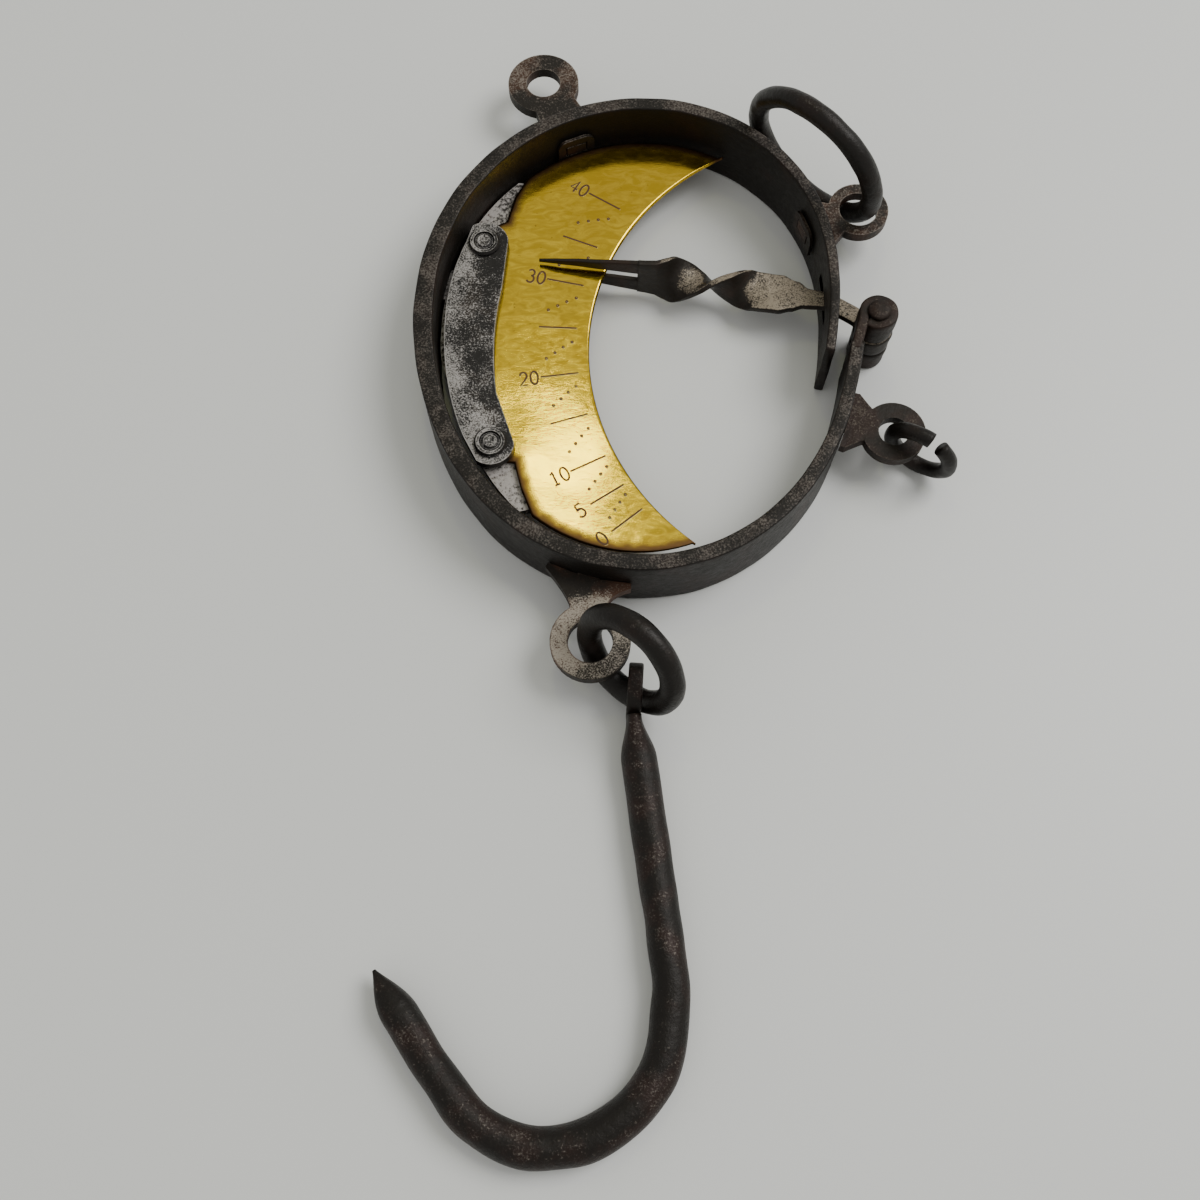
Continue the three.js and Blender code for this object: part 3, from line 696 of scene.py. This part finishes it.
def hook_shank():
    """Round bar, beaten flat at the eye's end and drawn to a four-sided point at the other."""
    route, length = spline(HOOK_ROUTE, 220)
    sections = []
    for i, (middle, along) in enumerate(route):
        level = Vector((0, 0, 1)).cross(along).normalized()
        upright = along.cross(level)
        width, height, squareness = hook_size(length * i / (len(route) - 1), length, middle.z)
        section = []
        for k in range(28):
            a = math.tau * k / 28
            c, s = math.cos(a), math.sin(a)
            boxed = 1 / max(abs(c), abs(s))
            reach = lerp(1.0, min(boxed, 1.25), squareness)
            point = middle + level * (width * c * reach) + upright * (height * s * reach)
            section.append(uneven(point, 0.35, 9.0, 2.0))
        sections.append(section)
    return skin(sections)


def hook_eye():
    turn = math.radians(HOOK_EYE_TURN)
    across = Vector((math.cos(turn), math.sin(turn), 0))
    sections = []
    for k in range(48):
        a = math.tau * k / 48
        out = Vector((0, 0, 1)) * math.sin(a) + Vector((-across.y, across.x, 0)) * math.cos(a)
        section = []
        for p, q in rounded_box(1.2, 3.4, 0.5, across=3, along=3):
            section.append(HOOK_EYE + out * (HOOK_EYE_RADIUS + p) + across * q)
        sections.append(section)
    return skin(sections, closed=True)


def build_hook():
    piece = make("hook", *merge(hook_shank(), hook_eye()), HOOK_IRON)
    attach(piece, "load_hook")
    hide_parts("load_hook")


# ------------------------------------------------------------------ pointer


STATIONS = (
    # x, y, z, width, thickness
    (57.0, 1.2, 9.5, 4.4, 1.8),
    (54.8, 3.9, 9.5, 4.5, 1.8),
    (48.4, 8.1, 9.3, 4.6, 1.8),
    (43.0, 9.4, 9.0, 5.2, 1.8),
    (40.0, 10.2, 8.8, 8.2, 1.9),
    (36.5, 10.9, 8.6, 10.6, 1.9),
    (29.5, 12.3, 8.3, 10.2, 1.9),
    (24.0, 13.3, 8.2, 9.0, 2.0),
    (19.1, 14.3, 8.2, 8.0, 2.1),
    (14.0, 15.1, 8.2, 9.8, 1.9),
    (8.0, 15.9, 8.2, 12.0, 1.8),
    (0.5, 16.9, 8.2, 12.4, 1.7),
)
SLIT_END, POINTER_TIP = (2.2, 16.7), (-24.6, 20.3)
SLIT_HEIGHTS = (6.9, 9.8)  # the slit's lower and upper side
UPPER_PRONG_TOPS = (14.3, 10.7)  # at the slit's end and at the tip
LOWER_PRONG_BOTTOMS = (2.1, 5.8)
PRONG_THICKNESS = (1.25, 0.7)
POINTER_EYE_RADIUS, POINTER_EYE_MIDDLE = 3.75, 9.5
# How far the strip has turned, as (x, degrees), from the pin to the slit.
TURNS = (
    (34, 0), (30, 8), (27, 42), (24, 78), (20.5, 108), (19, 124), (17.5, 145), (14, 178), (10.5, 216),
    (8, 246), (5, 266), (1, 270),
)


def pointer_strip():
    """The flat tail and the twist, as far as the slit."""
    route, _ = spline([s[:3] for s in STATIONS], 150)
    sections = []
    for middle, along in route:
        width, thickness = station_size(middle.x)
        level = Vector((0, 0, 1)).cross(along).normalized()
        upright = along.cross(level)
        turn = -math.radians(twist_at(middle.x))
        wide = level * math.cos(turn) + upright * math.sin(turn)
        thick = upright * math.cos(turn) - level * math.sin(turn)
        section = []
        for a, b in rounded_box(width, thickness, 0.4, across=8, along=2):
            section.append(uneven(middle + wide * a + thick * b, 0.2, 5.0, 5.0))
        sections.append(section)
    return skin(sections)


def twist_at(x):
    """How far the strip has turned, in degrees."""
    if x >= TURNS[0][0]:
        return 0.0
    for near, far in zip(TURNS, TURNS[1:]):
        if x >= far[0]:
            return lerp(near[1], far[1], (near[0] - x) / (near[0] - far[0]))
    return TURNS[-1][1]


def station_size(x):
    """Width and thickness between two stations."""
    for near, far in zip(STATIONS, STATIONS[1:]):
        if x >= far[0]:
            part = smooth((near[0] - x) / (near[0] - far[0]))
            return lerp(near[3], far[3], part), lerp(near[4], far[4], part)
    return STATIONS[-1][3:]


def prong(inner, outer_start, outer_end):
    """One side of the slit blade, from the slit's end to the tip; heights are inner and outer edges."""
    start = Vector((*SLIT_END, 0))
    tip = Vector((*POINTER_TIP, 0))
    along = (tip - start).normalized()
    side = Vector((-along.y, along.x, 0))
    sections = []
    for t in steps(0, 1, 50):
        outer = lerp(outer_start, outer_end, t**1.15)
        thickness = lerp(*PRONG_THICKNESS, t**1.5)
        middle, height = (inner + outer) / 2, abs(outer - inner)
        section = []
        for a, b in rounded_box(thickness, height, 0.3, across=2, along=4):
            point = start.lerp(tip, t) + side * a + Vector((0, 0, middle + b))
            section.append(uneven(point, 0.15, 6.0, 5.0))
        sections.append(section)
    return skin(sections)


def pointer_eye():
    middle = Vector((PIN.x, PIN.y, POINTER_EYE_MIDDLE))
    sections = []
    for k in range(40):
        a = math.tau * k / 40
        out = Vector((math.cos(a), math.sin(a), 0))
        section = []
        for p, q in rounded_box(2.2, 5.2, 0.6, across=3, along=4):
            point = middle + out * (POINTER_EYE_RADIUS + p) + Vector((0, 0, q))
            section.append(uneven(point, 0.2, 3.0))
        sections.append(section)
    return skin(sections, closed=True)


def build_pointer():
    parts = (
        pointer_strip(),
        prong(SLIT_HEIGHTS[1], *UPPER_PRONG_TOPS),
        prong(SLIT_HEIGHTS[0], *LOWER_PRONG_BOTTOMS),
        pointer_eye(),
    )
    piece = make("pointer_blade", *merge(*parts), POINTER_IRON)
    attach(piece, "pointer")
    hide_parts("pointer")


# ------------------------------------------------------------------ dial


DIAL_LEFT = [
    (-31.4, 40.5), (-33.4, 33), (-42, 29), (-44.5, 10), (-44.8, -8), (-42, -26), (-38, -34.5), (-30, -35.5),
    (-28.2, -42.5),
]


def inside_band(angle, clearance):
    return band_point(angle) - band_normal(angle) * (band_thickness(angle) / 2 + clearance)


def dial_outline():
    """The crescent's outer edge, from its upper tip round to its lower tip."""
    top = [inside_band(a, DIAL_TOP_GAP) for a in steps(*DIAL_TOP_ANGLES, 24)]
    left = [Vector((*p, 0)) for p in DIAL_LEFT]
    bottom = [inside_band(lerp(*DIAL_BOTTOM_ANGLES, t), lerp(*DIAL_BOTTOM_GAPS, t)) for t in steps(0, 1, 16)]
    return top + left + bottom


def outline_reach(outline, centre, ray):
    """How far the outline is from the dial's centre in one direction."""
    hits = []
    for p, q in zip(outline, outline[1:]):
        edge = q - p
        across = ray.x * edge.y - ray.y * edge.x
        if abs(across) > 1e-9:
            away = p - centre
            along = (away.x * edge.y - away.y * edge.x) / across
            part = (away.x * ray.y - away.y * ray.x) / across
            if along > 0 and -1e-6 <= part <= 1 + 1e-6:
                hits.append(along)
    return max(hits) if hits else DIAL_INNER + 0.3


def dial_top(columns, rows):
    """Points of the crescent's upper face, and how far each is from the edge."""
    outline = dial_outline()
    centre = Vector((*DIAL_CENTRE, 0))

    def bearing(point):
        offset = point - centre
        return math.degrees(math.atan2(offset.y, offset.x)) % 360

    points, edge = [], []
    for angle in steps(bearing(outline[0]) + 0.15, bearing(outline[-1]) - 0.15, columns):
        ray = Vector((math.cos(math.radians(angle)), math.sin(math.radians(angle)), 0))
        outer = max(outline_reach(outline, centre, ray), DIAL_INNER + 0.25)
        for away in steps(DIAL_INNER, outer, rows):
            point = centre + ray * away
            nearest = min(outer - away, near_outline(point, outline))
            height = dial_height(point.x, point.y) - 0.1 * smooth(1 - nearest / 0.5)
            points.append(Vector((point.x, point.y, height)))
            edge.append(nearest)
    return points, edge


def grid_rim(columns, rows):
    """The numbers of a grid's border points, in order."""
    rim = [i * (rows + 1) for i in range(columns + 1)]
    rim += [columns * (rows + 1) + j for j in range(1, rows + 1)]
    rim += [i * (rows + 1) + rows for i in range(columns - 1, -1, -1)]
    rim += list(range(rows - 1, 0, -1))
    return rim


def build_dial():
    columns, rows = 360, 44
    points, edge = dial_top(columns, rows)
    faces = []
    for i in range(columns):
        for j in range(rows):
            a = i * (rows + 1) + j
            faces.append((a, a + rows + 1, a + rows + 2, a + 1))
    low, rim = len(points), grid_rim(columns, rows)
    points += [Vector((points[i].x, points[i].y, DIAL_BOTTOM)) for i in rim]
    edge += [edge[i] for i in rim]
    for k in range(len(rim)):
        m = (k + 1) % len(rim)
        faces.append((rim[m], rim[k], low + k, low + m))
    faces.append(tuple(range(low, low + len(rim))))
    piece = make("dial", points, faces, BRASS, {"edge": edge})
    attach(piece, "upper_arm")
    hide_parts("dial_plate")


def near_outline(point, outline):
    """Distance from a point to the outline, in millimetres."""
    best = 99.0
    for p, q in zip(outline, outline[1:]):
        edge = q - p
        part = max(0.0, min(1.0, (point - p).dot(edge) / edge.length_squared))
        best = min(best, (p + edge * part - point).length)
    return best


def dial_height(x, y):
    return DIAL_TOP + DIAL_DOME * noise.noise(Vector((x, y, 0)) / DIAL_DOME_SIZE)


def ribbon(path, width, lift, shift=(0, 0)):
    """(points, faces) of a flat line on the dial."""
    points, faces = [], []
    for i, p in enumerate(path):
        before, after = path[max(0, i - 1)], path[min(len(path) - 1, i + 1)]
        along = (after - before).normalized()
        side = Vector((-along.y, along.x)) * width / 2
        for edge in (p + side, p - side):
            x, y = edge.x + shift[0], edge.y + shift[1]
            points.append(Vector((x, y, dial_height(x, y) + lift)))
    for i in range(len(path) - 1):
        faces.append((2 * i, 2 * i + 1, 2 * i + 3, 2 * i + 2))
    return points, faces


def bow(x, y, rx, ry, start, end, count=16):
    turns = [math.radians(t) for t in steps(start, end, count)]
    return [Vector((x + rx * math.cos(t), y + ry * math.sin(t))) for t in turns]


def line(*corners):
    return [Vector(corner) for corner in corners]


# Strokes of each figure, one unit high, from its lower left corner.
DIGITS = {
    "0": [bow(0.3, 0.5, 0.24, 0.46, 0, 360, 28)],
    "1": [line((0.12, 0.8), (0.3, 0.96), (0.3, 0.04)), line((0.12, 0.03), (0.48, 0.03))],
    "2": [bow(0.3, 0.7, 0.22, 0.26, 170, -35) + line((0.08, 0.05), (0.54, 0.05))],
    "3": [bow(0.28, 0.73, 0.2, 0.23, 150, -85), bow(0.28, 0.27, 0.24, 0.26, 85, -150)],
    "4": [line((0.4, 0.03), (0.4, 0.96), (0.06, 0.32), (0.56, 0.32))],
    "5": [line((0.5, 0.94), (0.16, 0.94), (0.13, 0.52)) + bow(0.28, 0.32, 0.25, 0.28, 125, -150)],
}


def polar(angle, radius):
    """A point of the dial by its direction and distance from the centre of the marks."""
    a = math.radians(angle)
    return Vector((MARK_CENTRE[0] - radius * math.cos(a), MARK_CENTRE[1] + radius * math.sin(a)))


def dial_paths():
    """(path, width) of each engraved line, figure stroke and dot."""
    paths = []
    values = sorted(MARKS)
    for value in values:
        angle = MARKS[value]
        paths.append(([polar(angle, r) for r in steps(*MARK_RADII, 8)], MARK_WIDTH))
        if value % 10 == 0 or value == 5:
            paths += figures(str(value), polar(angle, NUMBER_RADIUS), angle)
    for value in values[:-1]:
        gap = MARKS[value + 5] - MARKS[value]
        for i, radius in enumerate(DOT_RADII):
            centre = polar(MARKS[value] + gap * (0.36 + 0.11 * i), radius)
            paths.append(([centre + p for p in bow(0, 0, DOT_RADIUS, DOT_RADIUS, 0, 360, 8)], 0.36))
    return paths


def figures(text, centre, angle):
    """(path, width) of each stroke of a number, with its baseline along the mark."""
    a = math.radians(angle)
    right = Vector((math.cos(a), -math.sin(a)))
    up = Vector((math.sin(a), math.cos(a)))
    advance = 0.68 * NUMBER_HEIGHT
    start = centre - right * advance * len(text) / 2 - up * NUMBER_HEIGHT / 2
    paths = []
    for i, digit in enumerate(text):
        for stroke in DIGITS[digit]:
            path = []
            for p in stroke:
                path.append(start + right * (advance * i + p.x * NUMBER_HEIGHT) + up * p.y * NUMBER_HEIGHT)
            paths.append((path, NUMBER_STROKE))
    return paths


def build_marks():
    """Each engraved line is a dark ribbon of painted shadow where the cut is, with a narrower ribbon of
    painted highlight on its lip beside it.
    """
    paths = dial_paths()
    # The dark ribbons are painted shadow in the cuts.
    dark = [ribbon(path, width, 0.02) for path, width in paths]
    # The narrower ribbons, shifted to one side, are painted highlight on each lip.
    highlight_ribbons = [ribbon(path, width * 0.35, 0.012, (0.1, -0.22)) for path, width in paths]
    marks = make("dial_mark_shadows", *merge(*dark), ENGRAVED_SHADOW)
    lip_highlights = make("dial_mark_lip_highlights", *merge(*highlight_ribbons), ENGRAVED_HIGHLIGHT)
    for piece in (marks, lip_highlights):
        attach(piece, "upper_arm")


# ------------------------------------------------------------------ plates, stage, light and camera


def finish_plates():
    """The CAD's plates and rivets keep their shape, with rounded edges and their own iron."""
    looks = {
        # node: (material, width of the rounded edge)
        "top_left_lug": (DARK_LUG_IRON, 0.7),
        "top_right_lug": (DARK_LUG_IRON, 0.7),
        "lower_right_lug": (RUSTY_IRON, 0.6),
        "bottom_left_lug": (WORN_IRON, 0.9),
        "top_left_rove": (DARK_LUG_IRON, 0.25),
        "top_right_rove": (RUSTY_IRON, 0.25),
        "dial_bracket": (PLATE_IRON, 0.3),
        "dial_clamp": (CLAMP_IRON, 0.4),
        "dial_rivet_upper": (CLAMP_IRON, 0.2),
        "dial_rivet_lower": (CLAMP_IRON, 0.2),
        "rivet_collar_upper": (CLAMP_IRON, 0.15),
        "rivet_collar_lower": (CLAMP_IRON, 0.15),
    }
    for name, (material, width) in looks.items():
        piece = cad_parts[name]
        for material_slot in piece.material_slots:
            material_slot.link = "OBJECT"
            material_slot.material = material
        piece.data.polygons.foreach_set("use_smooth", [True] * len(piece.data.polygons))
        bevel = piece.modifiers.new("edges", "BEVEL")
        bevel.width = width * MM
        bevel.segments = 3
        bevel.limit_method = "ANGLE"
        bevel.angle_limit = math.radians(40)
        bevel.harden_normals = True


def build_stage():
    size, gap = 4.0, 0.0002  # metres
    z = cad_low.z - gap
    mesh = bpy.data.meshes.new("floor")
    corners = [(-size, -size, z), (size, -size, z), (size, size, z), (-size, size, z)]
    mesh.from_pydata(corners, [], [(0, 1, 2, 3)])
    mesh.materials.append(plain("pale_floor", (0.72, 0.725, 0.7, 1), 0.45))
    floor = bpy.data.objects.new("floor", mesh)
    bpy.context.scene.collection.objects.link(floor)


def area_light(name, position, target, size, power, colour=(1, 1, 1)):
    data = bpy.data.lights.new(name, "AREA")
    data.shape = "DISK"
    data.size = size
    data.energy = power
    data.color = colour
    light = bpy.data.objects.new(name, data)
    light.location = position
    light.rotation_mode = "QUATERNION"
    light.rotation_quaternion = (Vector(position) - Vector(target)).to_track_quat("Z", "Y")
    bpy.context.scene.collection.objects.link(light)


# Places, sizes and ways of the lights are in metres, their powers in watts.
KEY_PLACE, KEY_SIZE, KEY_POWER = (0.9, 0.35, 1.25), 0.9, 16
# The glare is a small lamp that the lower part of the brass mirrors towards the camera.
GLARE_SPOT, GLARE_WAY = (-16, -44, DIAL_TOP), Vector((-0.045, 0.44, 0.95))
GLARE_SIZE, GLARE_POWER, GLARE_COLOUR = 0.075, 0.3, (0.96, 1.0, 0.36)
ROOM_COLOUR, ROOM_STRENGTH = (0.98, 0.98, 0.96, 1), 0.63
CAMERA_PLACE, CAMERA_LENS, CAMERA_SENSOR = (-7.44, -170.26, 294.95), 39, 36
CAMERA_RIGHT, CAMERA_BACK = Vector((0.99998, 0.0, -0.00607)), Vector((0.0057, -0.3278, 0.9447))


def build_light():
    spot = place(GLARE_SPOT)
    area_light("key", KEY_PLACE, (cad_low + cad_high) / 2, KEY_SIZE, KEY_POWER)
    area_light("glare", spot + GLARE_WAY, spot, GLARE_SIZE, GLARE_POWER, GLARE_COLOUR)
    world = bpy.data.worlds.new("room")
    world.use_nodes = True
    background = world.node_tree.nodes["Background"]
    background.inputs["Color"].default_value = ROOM_COLOUR
    background.inputs["Strength"].default_value = ROOM_STRENGTH
    bpy.context.scene.world = world


def build_camera():
    """Above the hook's end, looking down at the scale and a little along it."""
    data = bpy.data.cameras.new("camera")
    data.lens = CAMERA_LENS
    data.sensor_width = CAMERA_SENSOR
    camera = bpy.data.objects.new("camera", data)
    camera.location = place(CAMERA_PLACE)
    right, back = CAMERA_RIGHT.normalized(), CAMERA_BACK.normalized()
    up = back.cross(right)
    camera.rotation_mode = "QUATERNION"
    camera.rotation_quaternion = Matrix((right, up, back)).transposed().to_quaternion()
    bpy.context.scene.collection.objects.link(camera)
    bpy.context.scene.camera = camera


build_band()
build_pin()
build_rings()
build_hook()
build_pointer()
build_dial()
build_marks()
finish_plates()
build_stage()
build_light()
build_camera()
